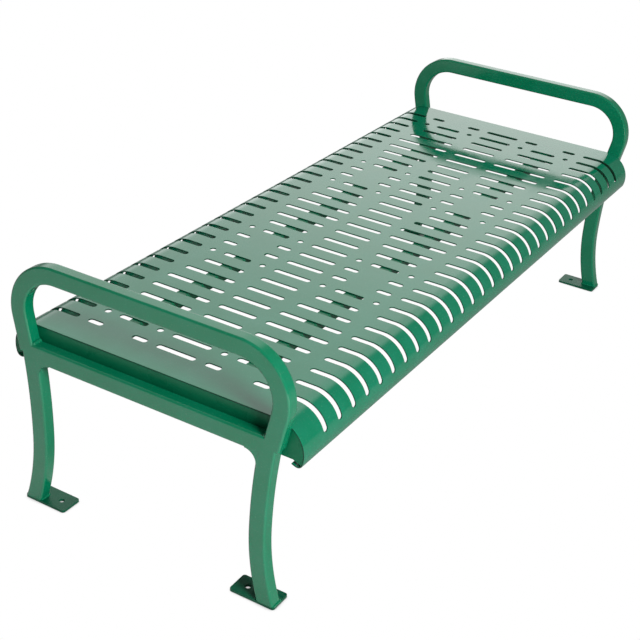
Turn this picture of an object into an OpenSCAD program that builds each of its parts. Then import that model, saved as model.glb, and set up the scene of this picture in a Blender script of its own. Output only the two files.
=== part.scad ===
// Backless bench: a slotted steel seat with rolled long edges, held between two tubular end frames.
// +X runs along the bench, +Y to the back, +Z up; the origin is on the floor under the middle.

/* [Overall] */
// Length over the outer faces of the two end frames
bench_length = 1832; // [1500:1:2400]
// Height of the seat's top face
seat_height = 440; // [400:1:480]
// Height of the arm hoops' top face above the seat
arm_rise = 164; // [140:1:220]

/* [Seat sheet] */
// Thickness of the seat sheet
sheet_t = 3; // [2:0.5:5]
// Width of the flat part of the seat, between the two rolled edges
flat_width = 600; // [560:1:680]
// Outer radius of the rolled long edges
roll_r = 67; // [50:1:67]
// How far the rolled edge turns below the horizontal
roll_tail_angle = 21; // [10:1:35]
// Width of the stiffening flange that turns back inwards under the roll
return_flange = 22; // [12:1:39]
// Angle at which that flange rises inwards
return_rise = 22; // [5:1:30]

/* [Slots] */
// Least length of plain sheet between the seat's end and the first slot row's space
plain_end = 50; // [30:1:120]
// Distance between slot rows
slot_pitch = 55.4; // [36:0.1:57]
// Width of every slot
slot_w = 15; // [12:0.5:20]
// Length of the slot in the middle of each row
centre_slot = 98; // [60:1:140]
// Solid web between two slots of one row
slot_web = 26; // [16:1:34]
// Length of the patterned zone on each side of the middle slot
side_zone = 156; // [120:1:170]
// Shortest slot, at the ends of the patterned zone
short_slot = 15; // [15:1:24]
// Solid middle of the rows whose slot is split in two
split_gap = 80; // [50:1:90]
// What the second-longest slots lose at each end against the longest
first_step = 10; // [4:1:14]
// What the third-longest slots lose at each end against the longest
second_step = 23; // [15:1:32]
// Angle above the horizontal at which the edge slots end on the roll
edge_slot_angle = 14; // [8:1:40]

/* [Tube] */
// Tube size in the plane of an end frame
tube_w = 40; // [30:1:50]
// Tube size along the bench
tube_d = 30; // [26:1:44]
// Tube wall
tube_wall = 2.5; // [1.5:0.5:4]
// Outer corner radius of the tube
tube_corner = 5; // [2:0.5:8]

/* [End frames] */
// Widest point of an arm hoop, across the bench
hoop_width = 693; // [640:1:720]
// Outer radius of the hoop's two top bends
hoop_bend_r = 119; // [90:1:140]
// How far each hoop side leans inwards below its bend
hoop_lean = 12; // [6:1:16]
// Depth below the seat's top at which a hoop is joined to its legs
joint_drop = 55; // [42:1:65]
// Depth of the cross rail's underside below the seat's top
rail_drop = 73; // [68:1:90]
// How far a leg's middle stands inside the hoop's middle at their joint
leg_step = 7.1; // [0:0.1:10]
// Height at which the legs come nearest to each other
leg_waist_z = 175; // [120:1:220]
// Bend radius of a leg above the waist
leg_upper_r = 1400; // [1000:10:2500]
// Bend radius of a leg below the waist
leg_lower_r = 560; // [450:10:900]
// Radius of the hollow corner gussets
gusset_r = 28; // [12:1:32]
// Width left at the gussets' two blunt ends
gusset_land = 2; // [1:0.5:4]
// Thickness of the gussets
gusset_t = 6; // [3:0.5:10]

/* [Foot plates] */
// Length of a foot plate across the bench
foot_len = 110; // [90:1:150]
// Width of a foot plate along the bench
foot_w = 56; // [44:1:80]
// Thickness of a foot plate
foot_t = 6; // [4:1:10]
// Corner radius of a foot plate
foot_corner = 6; // [2:1:12]
// How far the plate stands out past the leg on its outer side
foot_toe = 2; // [0:1:8]
// Diameter of the anchor hole
anchor_d = 13; // [9:0.5:18]
// Distance of the anchor hole from the plate's inner end
anchor_inset = 29; // [16:1:40]

/* [Under the seat] */
// Thickness of the plates that close the seat's ends
end_plate_t = 4; // [3:0.5:8]
// Outside size of the square stiffener tubes
stiffener = 25; // [16:1:30]
// Wall of the stiffener tubes
stiffener_wall = 2; // [1:0.5:3]
// Distance between the two stiffeners
stiffener_spread = 302; // [200:1:420]

/* [Fasteners] */
// Thread diameter of the bolts between seat and frames
bolt_d = 10; // [8:1:12]
// Distance between neighbouring bolts
bolt_spread = 190; // [120:1:220]
// Clearance round a bolt in its holes
bolt_clear = 0.5; // [0.2:0.1:1]
// Length of a bolt under its head
bolt_len = 20; // [18:1:26]
// Washer thickness
washer_t = 2; // [1:0.5:3]

/* [Hidden] */
$fn = 48;

// A length that surely reaches past whatever it cuts
past = 50;
steel_green = "#00764f";
dark_green = "#00583a";
zinc = "#b9bdbd";

// Planes along the bench
frame_out = bench_length / 2;
frame_in = frame_out - tube_d;
frame_mid = frame_out - tube_d / 2;
seat_end = frame_in;
plate_in = seat_end - end_plate_t;

// Heights that follow the seat
arm_height = seat_height + arm_rise;
hoop_joint_z = seat_height - joint_drop;
rail_z = seat_height - rail_drop;

// The rolled edge
roll_y = flat_width / 2;
roll_z = seat_height - roll_r;
sheet_under = seat_height - sheet_t;
tail_y = roll_y + roll_r * cos(roll_tail_angle);
tail_z = roll_z - roll_r * sin(roll_tail_angle);
flange_end_y = tail_y - return_flange * cos(return_rise);
flange_end_z = tail_z + return_flange * sin(return_rise);

// The slot pattern: as many rows as fit, and distances from the middle of the seat
slot_rows = floor(2 * (seat_end - plain_end) / slot_pitch);
zone_start = centre_slot / 2 + slot_web;
zone_end = zone_start + side_zone;
edge_slot_start = zone_end + slot_web;
end_slot = (side_zone - split_gap) / 2;
row_steps = [0, short_slot + slot_web, second_step, first_step, 0];

// The hoop
hoop_y = hoop_width / 2 - hoop_bend_r;
hoop_z = arm_height - hoop_bend_r;
hoop_mid_r = hoop_bend_r - tube_w / 2;
hoop_drop = hoop_z - hoop_joint_z + past;
hoop_side_z = hoop_z - hoop_mid_r * sin(hoop_lean);
hoop_foot_y = hoop_y + hoop_mid_r * cos(hoop_lean) - (hoop_side_z - hoop_joint_z) * tan(hoop_lean);
hoop_cap_t = tube_wall;
ring_len = tube_w / 2;
ring_t = tube_wall;

// The legs: the angle each bend turns before the cuts at its ends
leg_upper_turn = asin((hoop_joint_z - leg_waist_z + past) / leg_upper_r);
leg_lower_turn = asin((leg_waist_z + past / 4) / leg_lower_r);
leg_top_rise = hoop_joint_z - leg_waist_z;
leg_top_y = hoop_foot_y - leg_step;
leg_waist_y = leg_top_y - leg_upper_r + sqrt(leg_upper_r * leg_upper_r - leg_top_rise * leg_top_rise);
leg_foot_rise = leg_waist_z - foot_t;
leg_foot_y = leg_waist_y + leg_lower_r - sqrt(leg_lower_r * leg_lower_r - leg_foot_rise * leg_foot_rise);
leg_foot_slope = asin(leg_foot_rise / leg_lower_r);
leg_sole_y = leg_foot_y + tube_w / 2 / cos(leg_foot_slope);
foot_outer_y = leg_sole_y + foot_toe;

// Fasteners
rail_top = rail_z + tube_w;
bolt_z = rail_z + tube_w / 2;
hex_corner = 1.155;
head_af = bolt_d * 1.7;
head_h = bolt_d * 0.64;
nut_h = bolt_d * 0.8;
washer_d = bolt_d * 2;
bolt_hole_r = bolt_d / 2 + bolt_clear;
thread_gap = 0.05;

// Moves a drawing made in (across, up) to the bench, with its thickness along the bench
module across_bench(x) {
  translate([x, 0, 0])
    rotate([90, 0, 90])
      children();
}

// Draws for the left end what is modelled at the right end
module at_end(side) {
  if (side == "left") mirror([1, 0, 0]) children();
  else children();
}

// Draws at the front what is modelled at the back
module at_edge(edge) {
  if (edge == "front") mirror([0, 1, 0]) children();
  else children();
}

// A rectangle with exact round corners, centred
module round_rect(w, d, r) {
  square([w - 2 * r, d], center = true);
  square([w, d - 2 * r], center = true);
  for (i = [-1, 1], j = [-1, 1])
    translate([i * (w / 2 - r), j * (d / 2 - r)])
      circle(r);
}

// The tube's cross-section
module tube_outline() {
  round_rect(tube_w, tube_d, tube_corner);
}

// The hollow inside the tube
module tube_bore() {
  square([tube_w - 2 * tube_wall, tube_d - 2 * tube_wall], center = true);
}

// ---- Seat sheet ----

// One slot, its length across the bench from a to b, with round ends
module slot(a, b) {
  r = min(slot_w, b - a) / 2;
  if (b - a > slot_w)
    translate([-r, a + r])
      square([slot_w, b - a - slot_w]);
  for (y = [a + r, b - r])
    translate([0, y])
      circle(r, $fn = 12);
}

// The slots of one row in the patterned zone; kind 0 is split, 4 has the full length
module zone_slots(kind) {
  step = row_steps[kind];
  if (kind == 0) {
    slot(zone_start, zone_start + end_slot);
    slot(zone_end - end_slot, zone_end);
  }
  else
    slot(zone_start + step, zone_end - step);
  if (kind == 1) {
    slot(zone_start, zone_start + short_slot);
    slot(zone_end - short_slot, zone_end);
  }
}

// Kind of each row: five rows open up, the next five close again
function row_kind(i) = i % 10 < 5 ? i % 10 : 9 - i % 10;
function row_x(i) = (i - (slot_rows - 1) / 2) * slot_pitch;

// The flat part of the seat with all its slots
module seat_flat() {
  translate([0, 0, sheet_under])
    linear_extrude(sheet_t)
      difference() {
        square([2 * seat_end, flat_width], center = true);
        for (i = [0 : slot_rows - 1])
          translate([row_x(i), 0]) {
            slot(-centre_slot / 2, centre_slot / 2);
            for (flip = [0, 1])
              mirror([0, flip]) {
                zone_slots(row_kind(i));
                slot(edge_slot_start, flat_width / 2 + past);
              }
          }
      }
}

// The rolled edge and its return flange, seen along the bench
module roll_profile() {
  translate([roll_y, roll_z])
    intersection() {
      difference() {
        circle(roll_r, $fn = 96);
        circle(roll_r - sheet_t, $fn = 96);
      }
      polygon([
        [0, 0],
        [0, 2 * roll_r],
        [2 * roll_r, 2 * roll_r],
        [2 * roll_r, -2 * roll_r * tan(roll_tail_angle)]
      ]);
    }
  translate([tail_y, tail_z])
    rotate(180 - return_rise)
      translate([0, -sheet_t])
        square([return_flange, sheet_t]);
}

// What one edge slot takes out of the roll, cut level from the side, with a round lower end
module edge_slot_cutter() {
  r = slot_w / 2;
  end_z = roll_z + roll_r * sin(edge_slot_angle) + r;
  translate([0, roll_y + roll_r + past, 0])
    rotate([90, 0, 0])
      linear_extrude(roll_r + past) {
        translate([-r, end_z])
          square([slot_w, seat_height + past - end_z]);
        translate([0, end_z])
          circle(r, $fn = 12);
      }
}

// The rolled edge at the back, with its slots
module seat_roll() {
  difference() {
    across_bench(0)
      linear_extrude(2 * seat_end, center = true)
        roll_profile();
    for (i = [0 : slot_rows - 1])
      translate([row_x(i), 0, 0])
        edge_slot_cutter();
  }
}

module seat_panel() {
  color(steel_green) {
    seat_flat();
    seat_roll();
    mirror([0, 1, 0])
      seat_roll();
  }
}

// ---- Under the seat ----

// Plate that closes the seat's end: it fills both rolled edges and hangs behind the cross rail
module seat_end_plate(side) {
  low_z = flange_end_z + sheet_t / cos(return_rise);
  reach_y = flange_end_y + (return_flange + roll_r) * cos(return_rise);
  reach_z = low_z - (return_flange + roll_r) * sin(return_rise);
  color(dark_green)
    at_end(side)
      across_bench(plate_in)
        linear_extrude(end_plate_t)
          difference() {
            union() {
              translate([-roll_y, low_z])
                square([2 * roll_y, sheet_under - low_z]);
              for (flip = [0, 1])
                mirror([flip, 0])
                  intersection() {
                    translate([roll_y, roll_z])
                      circle(roll_r - sheet_t, $fn = 96);
                    polygon([
                      [0, low_z],
                      [flange_end_y, low_z],
                      [reach_y, reach_z],
                      [reach_y, seat_height],
                      [0, seat_height]
                    ]);
                  }
            }
            for (y = [-bolt_spread, 0, bolt_spread])
              translate([y, bolt_z])
                circle(bolt_hole_r);
          }
}

// Square tube under the slots, welded between the two end plates
module seat_stiffener(edge) {
  color(dark_green)
    at_edge(edge)
      across_bench(0)
        translate([stiffener_spread / 2, sheet_under - stiffener / 2])
          linear_extrude(2 * plate_in, center = true)
            difference() {
              square(stiffener, center = true);
              square(stiffener - 2 * stiffener_wall, center = true);
            }
}

// ---- End frames, drawn in (across, up) round the middle of the tube ----

// Carries a cross-section along the hoop: two legs that lean in, two bends and the top
module hoop_path() {
  for (flip = [0, 1])
    mirror([flip, 0, 0])
      translate([hoop_y, hoop_z, 0])
        rotate(-hoop_lean) {
          rotate_extrude(angle = 90 + hoop_lean, $fn = 96)
            translate([hoop_mid_r, 0])
              children();
          translate([hoop_mid_r, 0, 0])
            rotate([90, 0, 0])
              linear_extrude(hoop_drop)
                children();
        }
  translate([0, arm_height - tube_w / 2, 0])
    rotate([90, 0, 90])
      linear_extrude(2 * hoop_y, center = true)
        children();
}

// Everything below a height, or above it
module below(z) {
  translate([0, z - arm_height / 2, 0])
    cube([bench_length, arm_height, 2 * tube_d], center = true);
}

module above(z) {
  below(z + arm_height);
}

// A hoop as a full solid
module hoop_body() {
  difference() {
    hoop_path()
      tube_outline();
    below(hoop_joint_z);
  }
}

// Backing rings inside the tube, where the bends are welded to the top bar
module backing_rings() {
  for (flip = [0, 1])
    mirror([flip, 0, 0])
      translate([hoop_y, arm_height - tube_w / 2, 0])
        rotate([90, 0, 90])
          linear_extrude(ring_len, center = true)
            difference() {
              square([tube_w - tube_wall, tube_d - tube_wall], center = true);
              square([tube_w - 2 * tube_wall - ring_t, tube_d - 2 * tube_wall - ring_t], center = true);
            }
}

module arm_hoop(side) {
  color(steel_green)
    at_end(side)
      across_bench(frame_mid) {
        difference() {
          hoop_body();
          hoop_path()
            tube_bore();
        }
        backing_rings();
      }
}

// Plates that close the two open ends of a hoop, just inside the tube
module hoop_end_caps(side) {
  color(steel_green)
    at_end(side)
      across_bench(frame_mid)
        difference() {
          hoop_path()
            tube_bore();
          below(hoop_joint_z);
          above(hoop_joint_z + hoop_cap_t);
        }
}

// Carries a cross-section along one leg: two bends that start level at the waist
module leg_path() {
  translate([leg_waist_y + leg_lower_r, leg_waist_z, 0])
    rotate(180)
      rotate_extrude(angle = leg_lower_turn, $fn = 200)
        translate([leg_lower_r, 0])
          children();
  translate([leg_waist_y + leg_upper_r, leg_waist_z, 0])
    mirror([0, 1, 0])
      rotate(180)
        rotate_extrude(angle = leg_upper_turn, $fn = 200)
          translate([leg_upper_r, 0])
            children();
}

// A leg as a full solid, cut level at both ends
module leg_body() {
  difference() {
    leg_path()
      tube_outline();
    above(hoop_joint_z);
    below(foot_t);
  }
}

module leg(edge, side) {
  color(steel_green)
    at_edge(edge)
      at_end(side)
        across_bench(frame_mid)
          difference() {
            leg_body();
            leg_path()
              tube_bore();
          }
}

// Both uprights as full solids, to shape what butts against them
module uprights() {
  hoop_body();
  for (flip = [0, 1])
    mirror([flip, 0, 0])
      leg_body();
}

// Tube between the uprights, its ends coped to them, with bolt holes in its inner wall
module cross_rail(side) {
  color(steel_green)
    at_end(side)
      across_bench(frame_mid)
        difference() {
          translate([0, bolt_z, 0])
            rotate([90, 0, 90])
              linear_extrude(2 * leg_top_y, center = true)
                difference() {
                  tube_outline();
                  tube_bore();
                }
          uprights();
          for (y = [-bolt_spread, 0, bolt_spread])
            translate([y, bolt_z, -tube_d])
              cylinder(h = tube_d, r = bolt_hole_r);
        }
}

// Hollow-edged plates in the corners under the rail, flush with the frame's outer face
module corner_gussets(side) {
  low_z = rail_z - gusset_r - gusset_land;
  low_rise = low_z - leg_waist_z;
  leg_y = leg_waist_y + leg_upper_r - sqrt(leg_upper_r * leg_upper_r - low_rise * low_rise);
  hollow_y = leg_y - tube_w / 2 - gusset_land - gusset_r;
  color(steel_green)
    at_end(side)
      across_bench(frame_out - gusset_t)
        for (flip = [0, 1])
          mirror([flip, 0, 0])
            difference() {
              translate([hollow_y, low_z, 0])
                cube([leg_y - hollow_y, gusset_r + gusset_land, gusset_t]);
              translate([hollow_y, low_z, -1])
                cylinder(h = gusset_t + 2, r = gusset_r);
              translate([0, 0, gusset_t - tube_d / 2])
                leg_body();
            }
}

// ---- Foot plates ----

module foot_plate(edge, side) {
  plate_y = foot_outer_y - foot_len / 2;
  plate_x = frame_out - foot_w / 2;
  hole_y = anchor_inset - foot_len / 2;
  color(steel_green)
    at_edge(edge)
      at_end(side)
        translate([plate_x, plate_y, 0])
          linear_extrude(foot_t)
            difference() {
              round_rect(foot_w, foot_len, foot_corner);
              translate([0, hole_y])
                circle(anchor_d / 2);
            }
}

// ---- Fasteners between seat and frames; axes point outwards along the bench ----

module at_bolts(side) {
  color(zinc)
    at_end(side)
      for (y = [-bolt_spread, 0, bolt_spread])
        translate([plate_in, y, bolt_z])
          rotate([0, 90, 0])
            children();
}

module seat_bolts(side) {
  at_bolts(side) {
    translate([0, 0, -washer_t - head_h])
      cylinder(h = head_h, r = head_af / 2 * hex_corner, $fn = 6);
    translate([0, 0, -washer_t])
      cylinder(h = bolt_len, r = bolt_d / 2);
  }
}

module bolt_washers(side) {
  at_bolts(side)
    translate([0, 0, -washer_t])
      difference() {
        cylinder(h = washer_t, r = washer_d / 2);
        translate([0, 0, -1])
          cylinder(h = washer_t + 2, r = bolt_hole_r);
      }
}

// Hex nuts welded inside the rail, against its inner wall
module weld_nuts(side) {
  at_bolts(side)
    translate([0, 0, end_plate_t + tube_wall])
      difference() {
        cylinder(h = nut_h, r = head_af / 2 * hex_corner, $fn = 6);
        translate([0, 0, -1])
          cylinder(h = nut_h + 2, r = bolt_d / 2 + thread_gap);
      }
}

seat_panel();
seat_end_plate("left");  // seat_end_plate_left
seat_end_plate("right");  // seat_end_plate_right
seat_stiffener("front");  // seat_stiffener_front
seat_stiffener("back");  // seat_stiffener_back
arm_hoop("left");  // arm_hoop_left
arm_hoop("right");  // arm_hoop_right
hoop_end_caps("left");  // hoop_end_caps_left
hoop_end_caps("right");  // hoop_end_caps_right
leg("front", "left");  // leg_front_left
leg("back", "left");  // leg_back_left
leg("front", "right");  // leg_front_right
leg("back", "right");  // leg_back_right
cross_rail("left");  // cross_rail_left
cross_rail("right");  // cross_rail_right
corner_gussets("left");  // corner_gussets_left
corner_gussets("right");  // corner_gussets_right
foot_plate("front", "left");  // foot_plate_front_left
foot_plate("back", "left");  // foot_plate_back_left
foot_plate("front", "right");  // foot_plate_front_right
foot_plate("back", "right");  // foot_plate_back_right
seat_bolts("left");  // seat_bolts_left
seat_bolts("right");  // seat_bolts_right
bolt_washers("left");  // bolt_washers_left
bolt_washers("right");  // bolt_washers_right
weld_nuts("left");  // weld_nuts_left
weld_nuts("right");  // weld_nuts_right
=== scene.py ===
import math

import bpy
from mathutils import Matrix, Vector


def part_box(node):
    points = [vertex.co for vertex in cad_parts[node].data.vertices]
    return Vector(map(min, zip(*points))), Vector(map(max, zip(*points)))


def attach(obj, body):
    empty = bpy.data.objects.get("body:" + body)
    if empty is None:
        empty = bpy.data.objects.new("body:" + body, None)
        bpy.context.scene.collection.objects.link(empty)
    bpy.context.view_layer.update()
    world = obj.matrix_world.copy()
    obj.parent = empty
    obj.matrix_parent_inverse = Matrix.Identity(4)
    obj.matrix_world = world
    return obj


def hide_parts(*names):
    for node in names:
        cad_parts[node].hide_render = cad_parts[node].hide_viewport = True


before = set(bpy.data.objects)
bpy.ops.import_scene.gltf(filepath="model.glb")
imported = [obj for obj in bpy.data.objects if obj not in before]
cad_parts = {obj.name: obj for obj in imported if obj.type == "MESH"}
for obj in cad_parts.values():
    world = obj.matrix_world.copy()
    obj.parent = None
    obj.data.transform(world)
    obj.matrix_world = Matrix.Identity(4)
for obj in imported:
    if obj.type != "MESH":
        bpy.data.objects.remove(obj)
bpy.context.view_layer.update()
MM = 0.001


# ---------------------------------------------------------------------------------------------
# The seat: one 3 mm steel sheet, laser-cut with thirty rows of round-ended slots, its two long
# edges rolled down and hemmed inwards. The whole bench has one gloss green powder coat, which
# differs a little from piece to piece with the weather and the metal's edges; darker copies of it
# are painted shade on the slot walls, under the seat and on the foot plates.

def linear(hex_colour):
    """An sRGB hex colour as the linear RGBA that the shader takes."""
    parts = [int(hex_colour[i:i + 2], 16) / 255 for i in (1, 3, 5)]
    return [c / 12.92 if c <= 0.04045 else ((c + 0.055) / 1.055) ** 2.4 for c in parts] + [1.0]


def add(tree, kind, inputs=None, **settings):
    """A node with its settings, and its inputs either linked or set."""
    node = tree.nodes.new(kind)
    for name, value in settings.items():
        setattr(node, name, value)
    for key, value in (inputs or {}).items():
        if isinstance(value, bpy.types.NodeSocket):
            tree.links.new(value, node.inputs[key])
        else:
            node.inputs[key].default_value = value
    return node


def empty_tree(owner):
    """The node tree of a material or a world, with nothing in it yet."""
    owner.use_nodes = True
    owner.node_tree.nodes.clear()
    return owner.node_tree


def powder_coat(name, fresh, chalked, dust, roughness, peel, shine=0.5):
    """Polyester powder coat, sprayed and baked: a thick even film with a faint orange peel and a
    wet-looking gloss. Years of sun chalk it a little in broad patches, and grit and water marks
    leave fine paler specks that are also less glossy."""
    material = bpy.data.materials.new(name)
    tree = empty_tree(material)
    place = add(tree, "ShaderNodeTexCoord").outputs["Object"]
    # chalking drifts over about a hand's breadth: 90 mm
    drift = add(tree, "ShaderNodeTexNoise",
                {"Vector": place, "Scale": 1 / 0.09, "Detail": 4.0, "Roughness": 0.6})
    patches = add(tree, "ShaderNodeMapRange",
                  {"Value": drift.outputs["Fac"], "From Min": 0.38, "From Max": 0.66})
    coat = add(tree, "ShaderNodeMix",
               {"Factor": patches.outputs["Result"], 6: linear(fresh), 7: linear(chalked)},
               data_type="RGBA")
    # dried drops and grit, 4 mm apart; real ones are finer, these are as coarse as can be seen
    grit = add(tree, "ShaderNodeTexNoise",
               {"Vector": place, "Scale": 1 / 0.004, "Detail": 2.0, "Roughness": 0.7})
    specks = add(tree, "ShaderNodeMapRange",
                 {"Value": grit.outputs["Fac"], "From Min": 0.60, "From Max": 0.78,
                  "To Max": dust})
    film = add(tree, "ShaderNodeMix",
               {"Factor": specks.outputs["Result"], 6: coat.outputs[2], 7: linear("#7d9c8c")},
               data_type="RGBA")
    # gloss falls a little where the coat is chalked, and more on the specks
    worn = add(tree, "ShaderNodeMath",
               {0: patches.outputs["Result"], 1: specks.outputs["Result"]}, operation="ADD")
    rough = add(tree, "ShaderNodeMapRange",
                {"Value": worn.outputs["Value"], "To Min": roughness, "To Max": roughness + 0.09})
    # orange peel: soft lumps about 3 mm across and some 10 microns high
    lumps = add(tree, "ShaderNodeTexNoise",
                {"Vector": place, "Scale": 1 / 0.003, "Detail": 1.0, "Roughness": 0.4})
    peeled = add(tree, "ShaderNodeBump",
                 {"Height": lumps.outputs["Fac"], "Strength": peel, "Distance": 0.00012})
    shader = add(tree, "ShaderNodeBsdfPrincipled",
                 {"Base Color": film.outputs[2], "Roughness": rough.outputs["Result"],
                  "Normal": peeled.outputs["Normal"], "IOR": 1.52, "Specular IOR Level": shine})
    add(tree, "ShaderNodeOutputMaterial", {"Surface": shader.outputs["BSDF"]})
    return material


seat_coat = powder_coat("powder_coat_seat", "#006446", "#08684c",
                        dust=0.14, roughness=0.07, peel=0.1)
# painted shade: the sheet's cut edges, which line every slot, get a much darker copy of the coat
# that stands in for the shade inside the slots; it is also rougher, as the film pulls thin over a
# laser-cut edge
slot_wall_shade_coat = powder_coat("powder_coat_cut_edge_painted_shade", "#003423", "#00402a",
                        dust=0.05, roughness=0.4, peel=0.2, shine=0.25)

seat_low, seat_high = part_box("seat_panel")
seat_end_x = seat_high.x
seat_top = seat_high.z
sheet_t = 3 * MM
flat_half = 300 * MM
roll_r = 67 * MM
roll_z = seat_top - roll_r
roll_turn = math.radians(107)
hem_bend_r = 13 * MM
hem_turn = math.radians(202)
hem_len = 9 * MM

slot_rows = 30
slot_pitch = 55.4 * MM
slot_r = 7.5 * MM
centre_slot = (-49 * MM, 49 * MM)
edge_slot = (257 * MM, flat_half + roll_r * math.radians(76))
# five kinds of row, as mm from the middle of the sheet: the pattern opens out and closes again
row_kinds = [
    [(75, 113), (193, 231)],
    [(75, 90), (116, 190), (216, 231)],
    [(98, 208)],
    [(85, 221)],
    [(75, 231)],
]


def seat_profile(s):
    """Where the sheet's outer face is, a distance s across it from its middle."""
    side, s = (1, s) if s >= 0 else (-1, -s)
    roll_len = roll_r * roll_turn
    bend_len = hem_bend_r * (hem_turn - roll_turn)
    if s <= flat_half:
        y, z = s, seat_top
    elif s <= flat_half + roll_len:
        a = (s - flat_half) / roll_r
        y, z = flat_half + roll_r * math.sin(a), roll_z + roll_r * math.cos(a)
    else:
        centre_y = flat_half + (roll_r - hem_bend_r) * math.sin(roll_turn)
        centre_z = roll_z + (roll_r - hem_bend_r) * math.cos(roll_turn)
        past = s - flat_half - roll_len
        a = min(roll_turn + past / hem_bend_r, hem_turn)
        y, z = centre_y + hem_bend_r * math.sin(a), centre_z + hem_bend_r * math.cos(a)
        if past > bend_len:
            y += (past - bend_len) * math.cos(a)
            z -= (past - bend_len) * math.sin(a)
    return side * y, z


def slot_ends(a, b):
    """The distances at which a slot's round ends are drawn, five to a quarter turn."""
    steps = [slot_r * (1 - math.cos(k * math.pi / 10)) for k in range(6)]
    return [a + step for step in steps] + [b - step for step in steps]


def half_width(slots, s):
    """Half the width of the opening a distance s across the sheet, or nothing."""
    for a, b in slots:
        if a < s < b:
            short = max(a + slot_r - s, s - (b - slot_r), 0)
            return math.sqrt(max(slot_r ** 2 - short ** 2, 0))
    return 0.0


row_slots = []
for row in range(slot_rows):
    kind = row % 10 if row % 10 < 5 else 9 - row % 10
    slots = [centre_slot]
    for a, b in [(a * MM, b * MM) for a, b in row_kinds[kind]] + [edge_slot]:
        slots += [(a, b), (-b, -a)]
    row_slots.append(slots)

# the lines along the sheet that its mesh is built on: every step of a slot's end, then nineteen
# strips round each roll, six round the hem's bend and one flat strip to its edge
roll_strips, bend_strips = 19, 6
roll_end_s = flat_half + roll_r * roll_turn
hem_start_s = roll_end_s + hem_bend_r * (hem_turn - roll_turn)
levels = {0.0, hem_start_s + hem_len}
for slots in row_slots[:5]:
    for a, b in slots:
        levels.update(slot_ends(a, b))
for k in range(roll_strips + 1):
    levels.add(flat_half + (roll_end_s - flat_half) * k / roll_strips)
for k in range(1, bend_strips + 1):
    levels.add(roll_end_s + (hem_start_s - roll_end_s) * k / bend_strips)
levels = {round(abs(s), 5) for s in levels}
levels = sorted(levels | {-s for s in levels})

least_half_width = 0.5 * MM
verts, faces, borders, inners = [], [], [], []


def seat_vertex(x, s):
    verts.append((x, *seat_profile(s)))
    return len(verts) - 1


between_rows = [(i - slot_rows / 2) * slot_pitch for i in range(slot_rows + 1)]
border_x = [-seat_end_x] + between_rows + [seat_end_x]
for s in levels:
    borders.append([seat_vertex(x, s) for x in border_x])
    line = []
    for row, slots in enumerate(row_slots):
        x = (row - (slot_rows - 1) / 2) * slot_pitch
        w = half_width(slots, s)
        if w > least_half_width:
            line.append((seat_vertex(x - w, s), seat_vertex(x + w, s)))
        else:
            middle = seat_vertex(x, s)
            line.append((middle, middle))
    inners.append(line)
for j in range(len(levels) - 1):
    low, high = borders[j], borders[j + 1]
    faces.append((low[0], low[1], high[1], high[0]))
    faces.append((low[-2], low[-1], high[-1], high[-2]))
    for row in range(slot_rows):
        (l0, r0), (l1, r1) = inners[j][row], inners[j + 1][row]
        faces.append((low[row + 1], l0, l1, high[row + 1]))
        faces.append((r0, low[row + 2], high[row + 2], r1))


def new_object(name, data):
    """An object of the scene that shows the mesh, light or camera given."""
    item = bpy.data.objects.new(name, data)
    bpy.context.scene.collection.objects.link(item)
    return item


def new_piece(name, vertices, polygons, material):
    """A mesh piece of the bench with one finish, shaded smooth, riding on the frame."""
    mesh = bpy.data.meshes.new(name)
    mesh.from_pydata(vertices, [], polygons)
    mesh.validate()
    mesh.materials.append(material)
    mesh.shade_smooth()
    piece = new_object(name, mesh)
    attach(piece, "root")
    return piece


def soften(piece, width):
    """Breaks every sharp edge, as grinding and a thick film of paint do."""
    bevel = piece.modifiers.new("broken_edges", "BEVEL")
    bevel.width = width
    bevel.segments = 2
    bevel.limit_method = "ANGLE"
    bevel.angle_limit = math.radians(40)
    bevel.harden_normals = True


seat = new_piece("slotted_seat_sheet", verts, faces, seat_coat)
seat.data.materials.append(slot_wall_shade_coat)
thick = seat.modifiers.new("sheet_thickness", "SOLIDIFY")
thick.thickness = sheet_t
thick.offset = -1
thick.use_even_offset = True
# painted shade: the sheet's cut edges, round every slot, take the second, darker coat
thick.material_offset_rim = 1
soften(seat, 0.7 * MM)
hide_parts("seat_panel")


# ---------------------------------------------------------------------------------------------
# Under the seat: a plate closes each end and fills the rolled edges, and two square tubes run
# between them. All are plain steel, welded to the sheet and coated with it; their coat carries
# fewer specks, and is painted darker and less glossy as painted shade under the seat.

# painted shade: a darker, less glossy copy of the coat for the end plates and tubes under the
# seat
under_seat_shade_coat = powder_coat("powder_coat_under_seat_painted_shade", "#005639", "#045b3d",
                          dust=0.06, roughness=0.25, peel=0.2, shine=0.15)


def recoat(node, material, broken=0.0):
    """Gives a node of the frame its finish and, where a width is given, broken edges."""
    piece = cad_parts[node]
    piece.data.materials.clear()
    piece.data.materials.append(material)
    if broken:
        soften(piece, broken)


for node in ("seat_end_plate_left", "seat_end_plate_right"):
    recoat(node, under_seat_shade_coat)
for node in ("seat_stiffener_front", "seat_stiffener_back"):
    recoat(node, under_seat_shade_coat, 1.5 * MM)


# ---------------------------------------------------------------------------------------------
# Arm hoops: 40 x 30 mm rectangular steel tube, bent cold in two places to an arch whose sides
# lean in below the bends. The tube's own corners are rolled to a radius of 5 mm.

frame_coat = powder_coat("powder_coat_frame", "#006645", "#05694a",
                         dust=0.16, roughness=0.11, peel=0.25)

hoop_low, hoop_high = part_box("arm_hoop_left")
tube_w = 40 * MM
tube_d = hoop_high.x - hoop_low.x
tube_corner = 5 * MM
hoop_half = hoop_high.y
hoop_top = hoop_high.z
hoop_foot = hoop_low.z
hoop_bend_r = 119 * MM
hoop_lean = math.radians(12)


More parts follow.
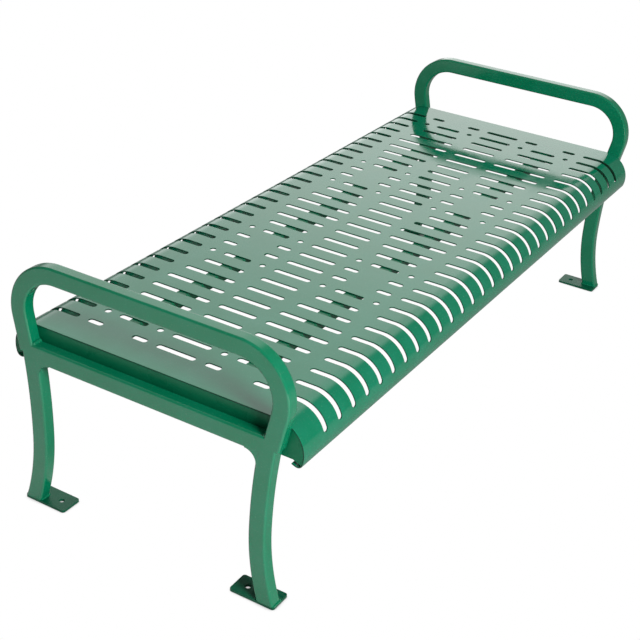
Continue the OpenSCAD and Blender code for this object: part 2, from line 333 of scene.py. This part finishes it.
def tube_section(w, d, r):
    """The outline of a tube, w across the frame and d along the bench, with rolled corners."""
    outline = []
    for corner, (i, j) in enumerate([(1, 1), (-1, 1), (-1, -1), (1, -1)]):
        for k in range(7):
            a = math.pi / 2 * (corner + k / 6)
            outline.append((i * (w / 2 - r) + r * math.cos(a), j * (d / 2 - r) + r * math.sin(a)))
    return outline


tube_outline = tube_section(tube_w, tube_d, tube_corner)


def bent_tube(name, path, x, cuts):
    """Sweeps a tube along a path in the end frame's plane and saws its two ends level at the
    heights in cuts."""
    vertices, polygons = [], []
    n = len(tube_outline)
    for i, (y, z) in enumerate(path):
        before, after = path[max(i - 1, 0)], path[min(i + 1, len(path) - 1)]
        along = Vector((0, after[0] - before[0], after[1] - before[1])).normalized()
        across = Vector((0, along.z, -along.y))
        for u, v in tube_outline:
            p = Vector((x, y, z)) + across * u + Vector((v, 0, 0))
            for end, cut in ((0, cuts[0]), (len(path) - 1, cuts[1])):
                if i == end:
                    p += along * ((cut - p.z) / along.z)
            vertices.append(p)
    for i in range(len(path) - 1):
        for k in range(n):
            a, b = i * n + k, i * n + (k + 1) % n
            polygons.append((a, b, b + n, a + n))
    polygons.append(tuple(reversed(range(n))))
    polygons.append(tuple(range((len(path) - 1) * n, len(path) * n)))
    piece = new_piece(name, vertices, polygons, frame_coat)
    for polygon in piece.data.polygons[-2:]:
        polygon.use_smooth = False
    weighted = piece.modifiers.new("flat_sides", "WEIGHTED_NORMAL")
    weighted.keep_sharp = True
    return piece


def hoop_path():
    """The middle of the hoop's tube, from the front foot over the top to the back foot."""
    bend_y, bend_z = hoop_half - hoop_bend_r, hoop_top - hoop_bend_r
    r = hoop_bend_r - tube_w / 2
    side_steps, bend_steps, top_steps = 5, 34, 8
    side = []
    a = -hoop_lean
    end_y, end_z = bend_y + r * math.cos(a), bend_z + r * math.sin(a)
    reach = (end_z - hoop_foot) / math.cos(hoop_lean)
    for k in range(side_steps):
        back = reach * (1 - k / side_steps)
        side.append((end_y - back * math.sin(hoop_lean), end_z - back * math.cos(hoop_lean)))
    for k in range(bend_steps + 1):
        a = -hoop_lean + (math.pi / 2 + hoop_lean) * k / bend_steps
        side.append((bend_y + r * math.cos(a), bend_z + r * math.sin(a)))
    top = [(bend_y * (1 - 2 * k / top_steps), hoop_top - tube_w / 2) for k in range(1, top_steps)]
    return side + top + [(-y, z) for y, z in reversed(side)]


for side_name in ("left", "right"):
    low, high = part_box("arm_hoop_" + side_name)
    hoop = bent_tube("arm_hoop_tube_" + side_name, hoop_path(), (low.x + high.x) / 2,
                     (hoop_foot, hoop_foot))
    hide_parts("arm_hoop_" + side_name)
    recoat("hoop_end_caps_" + side_name, frame_coat)


# ---------------------------------------------------------------------------------------------
# Legs: the same tube, drawn round two large bends so each leg bows in and then flares to its
# foot. They are sawn level at both ends and welded under the hoop and onto the foot plate.

leg_low, leg_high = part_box("leg_back_left")
leg_waist_y = leg_low.y + tube_w / 2
leg_waist_z = 175 * MM
leg_upper_r = 1400 * MM
leg_lower_r = 560 * MM


def leg_y(z):
    """Distance of a leg's middle from the bench's middle at a height."""
    r = leg_lower_r if z < leg_waist_z else leg_upper_r
    return leg_waist_y + r - math.sqrt(r ** 2 - (z - leg_waist_z) ** 2)


def leg_path(edge):
    """The middle of one leg's tube, from the foot up; edge is -1 at the front, 1 at the back."""
    points = []
    steps, spare = 40, 4 * MM
    for k in range(steps + 1):
        z = leg_low.z - spare + (leg_high.z - leg_low.z + 2 * spare) * k / steps
        points.append((edge * leg_y(z), z))
    return points


for side_name in ("left", "right"):
    for edge_name, edge in (("front", -1), ("back", 1)):
        node = f"leg_{edge_name}_{side_name}"
        low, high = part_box(node)
        leg = bent_tube("bowed_" + node, leg_path(edge), (low.x + high.x) / 2,
                        (low.z, high.z))
        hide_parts(node)


# ---------------------------------------------------------------------------------------------
# Cross rails: a straight length of the tube coped between the two uprights of each end frame,
# with a small hollow-edged steel plate in each corner below it. The plates are lapped onto rail
# and leg, and ground so nearly flush outside that the three run together under the coat.

gusset_r = 28 * MM
gusset_t = 6 * MM
gusset_lap = 6 * MM
ground_off = 0.2 * MM


def corner_plates(name, x_out, sign, rail_z):
    """The two corner plates of one end frame, from its outer face inwards; sign is -1 at the left
    end and 1 at the right."""
    vertices, polygons = [], []
    hollow_steps = 12
    for edge in (-1, 1):
        inner = leg_y(rail_z - gusset_r / 2) - tube_w / 2
        y, z = inner - gusset_r, rail_z - gusset_r
        outline = [(y, rail_z + gusset_lap), (inner + gusset_lap, rail_z + gusset_lap),
                   (inner + gusset_lap, z)]
        for k in range(hollow_steps + 1):
            a = math.pi / 2 * k / hollow_steps
            outline.append((y + gusset_r * math.cos(a), z + gusset_r * math.sin(a)))
        first, n = len(vertices), len(outline)
        for x in (x_out - sign * ground_off, x_out - sign * gusset_t):
            vertices += [(x, edge * u, v) for u, v in outline]
        turned = edge * sign < 0
        front = list(range(first, first + n))
        back = list(range(first + n, first + 2 * n))
        polygons.append(tuple(reversed(front)) if turned else tuple(front))
        polygons.append(tuple(back) if turned else tuple(reversed(back)))
        for k in range(n):
            a, b = first + k, first + (k + 1) % n
            polygons.append((a, b, b + n, a + n) if turned else (b, a, a + n, b + n))
    plates = new_piece(name, vertices, polygons, frame_coat)
    soften(plates, 0.6 * MM)
    return plates


for side_name, sign in (("left", -1), ("right", 1)):
    recoat("cross_rail_" + side_name, frame_coat)
    rail_low, rail_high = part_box("cross_rail_" + side_name)
    x_out = rail_low.x if sign < 0 else rail_high.x
    plates = corner_plates("corner_plates_" + side_name, x_out, sign, rail_low.z)
    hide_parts("corner_gussets_" + side_name)


# ---------------------------------------------------------------------------------------------
# Welds: MIG beads, coated over: across the outer face where hoop meets leg, round three sides of
# each leg's foot, and in the corner over each end of a rail. Each is a low rounded ridge, 5 to
# 11 mm wide, with a scallop every 3 mm where the welder's hand moved on.

scallop = 3 * MM
waver = 11 * MM
bead_inset = 3 * MM


def weld_bead(name, points, width):
    """A rippled ridge along a line of points, tapered at both ends."""
    points = [Vector(p) for p in points]
    run = []
    for a, b in zip(points, points[1:]):
        steps = max(int((b - a).length / MM), 1)
        run += [a.lerp(b, k / steps) for k in range(steps)]
    run.append(points[-1])
    last, n, travelled = len(run) - 1, 8, 0.0
    vertices, polygons = [], []
    for i, p in enumerate(run):
        before, after = run[max(i - 1, 0)], run[min(i + 1, last)]
        up = Vector((0, 0, 1))
        aside = (after - before).normalized().cross(up)
        travelled += (p - before).length
        swell = 1 + 0.2 * math.sin(travelled / scallop * 2 * math.pi)
        swell *= 1 + 0.1 * math.sin(travelled / waver * 2 * math.pi + 1.3)
        # the first and last three millimetres run out thin
        r = width / 2 * swell * min(1.0, 0.35 + 0.3 * min(i, last - i))
        for k in range(n):
            a = 2 * math.pi * k / n
            vertices.append(p + (aside * math.cos(a) + up * math.sin(a)) * r)
    for i in range(last):
        for k in range(n):
            a, b = i * n + k, i * n + (k + 1) % n
            polygons.append((a, b, b + n, a + n))
    polygons.append(tuple(reversed(range(n))))
    polygons.append(tuple(range(last * n, (last + 1) * n)))
    new_piece(name, vertices, polygons, frame_coat)


for side_name, sign in (("left", -1), ("right", 1)):
    low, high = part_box("leg_back_" + side_name)
    near_x, far_x = low.x + bead_inset, high.x - bead_inset
    out_x, in_x = (near_x, high.x) if sign < 0 else (far_x, low.x)
    rail_low, rail_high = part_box("cross_rail_" + side_name)
    # a leg meets its plate aslant, so the sawn end is a little wider than the tube
    cut_half = tube_w / 2 * leg_lower_r / math.sqrt(leg_lower_r ** 2 - (leg_waist_z - low.z) ** 2)
    for edge_name, edge in (("front", -1), ("back", 1)):
        tag = f"{edge_name}_{side_name}"
        outer = edge * (leg_y(high.z) + tube_w / 2)
        weld_bead("weld_hoop_to_leg_" + tag,
                  [(near_x, outer, high.z), (far_x, outer, high.z)], 6 * MM)
        inner, outer = edge * (leg_y(low.z) - cut_half), edge * (leg_y(low.z) + cut_half)
        weld_bead("weld_leg_to_plate_" + tag,
                  [(out_x, inner, low.z), (in_x, inner, low.z),
                   (in_x, outer, low.z), (out_x, outer, low.z)], 5 * MM)
        corner_y = edge * (rail_high.y - 4.5 * MM)
        weld_bead("weld_rail_top_" + tag,
                  [(near_x, corner_y, rail_high.z), (far_x, corner_y, rail_high.z)], 11 * MM)


# ---------------------------------------------------------------------------------------------
# Foot plates: 6 mm flat bar sawn to length, corners eased with a grinder and one hole punched
# for the ground anchor. The coat is a little more scuffed and rougher here, near the ground, and
# its darker colour is painted shade under the bench.

# painted shade: a darker copy of the coat, as the foot plates lie in the bench's shade
foot_shade_coat = powder_coat("powder_coat_foot_painted_shade", "#004630", "#065038",
                        dust=0.06, roughness=0.34, peel=0.3, shine=0.16)

for side_name in ("left", "right"):
    for edge_name in ("front", "back"):
        recoat(f"foot_plate_{edge_name}_{side_name}", foot_shade_coat, 0.9 * MM)


# ---------------------------------------------------------------------------------------------
# Fasteners: zinc-plated M10 hex bolts, washers and weld nuts that hold the seat's end plates to
# the cross rails from the inside. Passivated zinc is pale, slightly blue and softly streaked.

def zinc_plate(name):
    """Electroplated zinc: fine crystalline spangle under a thin clear passivation."""
    material = bpy.data.materials.new(name)
    tree = empty_tree(material)
    place = add(tree, "ShaderNodeTexCoord").outputs["Object"]
    # crystals about 1.5 mm across
    crystals = add(tree, "ShaderNodeTexVoronoi", {"Vector": place, "Scale": 1 / 0.0015})
    tint = add(tree, "ShaderNodeMix",
               {"Factor": crystals.outputs["Distance"], 6: linear("#b6bdc2"),
                7: linear("#d2d6d4")}, data_type="RGBA")
    rough = add(tree, "ShaderNodeMapRange",
                {"Value": crystals.outputs["Distance"], "To Min": 0.28, "To Max": 0.42})
    shader = add(tree, "ShaderNodeBsdfPrincipled",
                 {"Base Color": tint.outputs[2], "Roughness": rough.outputs["Result"],
                  "Metallic": 1.0})
    add(tree, "ShaderNodeOutputMaterial", {"Surface": shader.outputs["BSDF"]})
    return material


zinc = zinc_plate("zinc_plated_steel")
for side_name in ("left", "right"):
    recoat("seat_bolts_" + side_name, zinc, 0.5 * MM)
    recoat("bolt_washers_" + side_name, zinc, 0.3 * MM)
    recoat("weld_nuts_" + side_name, zinc, 0.4 * MM)


# ---------------------------------------------------------------------------------------------
# The studio: a floor and a backdrop that look plain white, a dim surround with a wide soft glow
# beyond the right end that the seat's gloss picks up, a soft key light at the front and a fill
# behind.

floor_material = bpy.data.materials.new("pale_studio_floor")
tree = empty_tree(floor_material)
# a white card lies on the darker floor past the left end, and lights that end frame from below
across = add(tree, "ShaderNodeSeparateXYZ",
             {"Vector": add(tree, "ShaderNodeTexCoord").outputs["Object"]})
card = add(tree, "ShaderNodeMapRange",
           {"Value": across.outputs["X"], "From Min": -0.75, "From Max": -1.0})
paper = add(tree, "ShaderNodeMix",
            {"Factor": card.outputs["Result"], 6: linear("#a3a3a2"), 7: linear("#f4f4f3")},
            data_type="RGBA")
lit_floor = add(tree, "ShaderNodeBsdfPrincipled",
                {"Base Color": paper.outputs[2], "Roughness": 0.9, "Specular IOR Level": 0.2})
# a little shade right under the foot plates and down their holes, where no light gets in
contact = add(tree, "ShaderNodeAmbientOcclusion", {"Distance": 14 * MM}, samples=6)
shade = add(tree, "ShaderNodeMapRange",
            {"Value": contact.outputs["AO"], "From Min": 0.15, "From Max": 0.75, "To Min": 0.06})
white_floor = add(tree, "ShaderNodeEmission",
                  {"Color": linear("#ffffff"), "Strength": shade.outputs["Result"]})
seen = add(tree, "ShaderNodeLightPath").outputs["Is Camera Ray"]
floor_mix = add(tree, "ShaderNodeMixShader",
                {"Fac": seen, 1: lit_floor.outputs["BSDF"], 2: white_floor.outputs["Emission"]})
add(tree, "ShaderNodeOutputMaterial", {"Surface": floor_mix.outputs["Shader"]})
# one great triangle, so that no seam runs under the bench
floor_reach = 60.0
floor_mesh = bpy.data.meshes.new("studio_floor")
floor_mesh.from_pydata([(-3 * floor_reach, -floor_reach, 0), (3 * floor_reach, -floor_reach, 0),
                        (0, 4 * floor_reach, 0)], [], [(0, 1, 2)])
floor_mesh.materials.append(floor_material)
new_object("studio_floor", floor_mesh)

world = bpy.data.worlds.new("studio_surround")
tree = empty_tree(world)
# two round glows: a wide one high up past the right end, and a small faint one near the floor
direction = add(tree, "ShaderNodeTexCoord").outputs["Generated"]
towards = add(tree, "ShaderNodeVectorMath",
              {0: direction, 1: Vector((0.76, 0.44, 0.48)).normalized()}, operation="DOT_PRODUCT")
glow = add(tree, "ShaderNodeMapRange",
           {"Value": towards.outputs["Value"], "From Min": 0.82, "From Max": 0.93,
            "To Min": 0.22, "To Max": 1.6}, interpolation_type="SMOOTHSTEP")
low_down = add(tree, "ShaderNodeVectorMath",
               {0: direction, 1: Vector((0.93, 0.35, 0.1)).normalized()}, operation="DOT_PRODUCT")
low_glow = add(tree, "ShaderNodeMapRange",
               {"Value": low_down.outputs["Value"], "From Min": 0.88, "From Max": 0.98,
                "To Min": 0.0, "To Max": 0.7}, interpolation_type="SMOOTHSTEP")
both_glows = add(tree, "ShaderNodeMath",
                 {0: glow.outputs["Result"], 1: low_glow.outputs["Result"]}, operation="ADD")
surround = add(tree, "ShaderNodeBackground",
               {"Color": linear("#ffffff"), "Strength": both_glows.outputs["Value"]})
backdrop = add(tree, "ShaderNodeBackground", {"Color": linear("#ffffff"), "Strength": 1.0})
seen = add(tree, "ShaderNodeLightPath").outputs["Is Camera Ray"]
world_mix = add(tree, "ShaderNodeMixShader",
                {"Fac": seen, 1: surround.outputs["Background"],
                 2: backdrop.outputs["Background"]})
add(tree, "ShaderNodeOutputWorld", {"Surface": world_mix.outputs["Shader"]})
bpy.context.scene.world = world

bench_middle = Vector((0, 0, 0.3))


def soft_panel(name, azimuth, elevation, distance, size, power):
    """A square soft light turned to the bench; azimuth is counted from +X towards +Y."""
    light = bpy.data.lights.new(name, "AREA")
    light.shape = "SQUARE"
    light.size = size
    light.energy = power
    panel = new_object(name, light)
    az, el = math.radians(azimuth), math.radians(elevation)
    out = Vector((math.cos(az) * math.cos(el), math.sin(az) * math.cos(el), math.sin(el)))
    panel.location = bench_middle + out * distance
    panel.rotation_euler = out.to_track_quat("Z", "Y").to_euler()
    return panel


# the key fills without a mirror image of its own; the smaller lamp in its middle draws the
# highlights on the bends
key = soft_panel("key_light", azimuth=239, elevation=29, distance=5.0, size=1.6, power=270)
key.visible_glossy = False
soft_panel("highlight_lamp", azimuth=239, elevation=29, distance=5.0, size=0.9, power=60)
fill = soft_panel("back_fill", azimuth=62, elevation=24, distance=5.0, size=2.4, power=90)
fill.visible_glossy = False

scene = bpy.context.scene
scene.view_settings.view_transform = "Standard"

# a long lens beyond the left end and a little to the front, above eye height, held slightly askew
lens = bpy.data.cameras.new("camera")
lens.lens = 74.42
lens.sensor_width = 36.0
camera = new_object("camera", lens)
az, el, roll = math.radians(-60.274), math.radians(28.565), math.radians(3.731)
forward = Vector((math.sin(-az) * math.cos(el), math.cos(az) * math.cos(el), -math.sin(el)))
level = Vector((math.cos(az), math.sin(az), 0))
upright = level.cross(forward)
right = level * math.cos(roll) + upright * math.sin(roll)
up = upright * math.cos(roll) - level * math.sin(roll)
turn = Matrix((right, up, -forward)).transposed().to_4x4()
camera.matrix_world = Matrix.Translation((-2.69502, -1.41469, 1.81356)) @ turn
scene.camera = camera

bpy.context.view_layer.update()
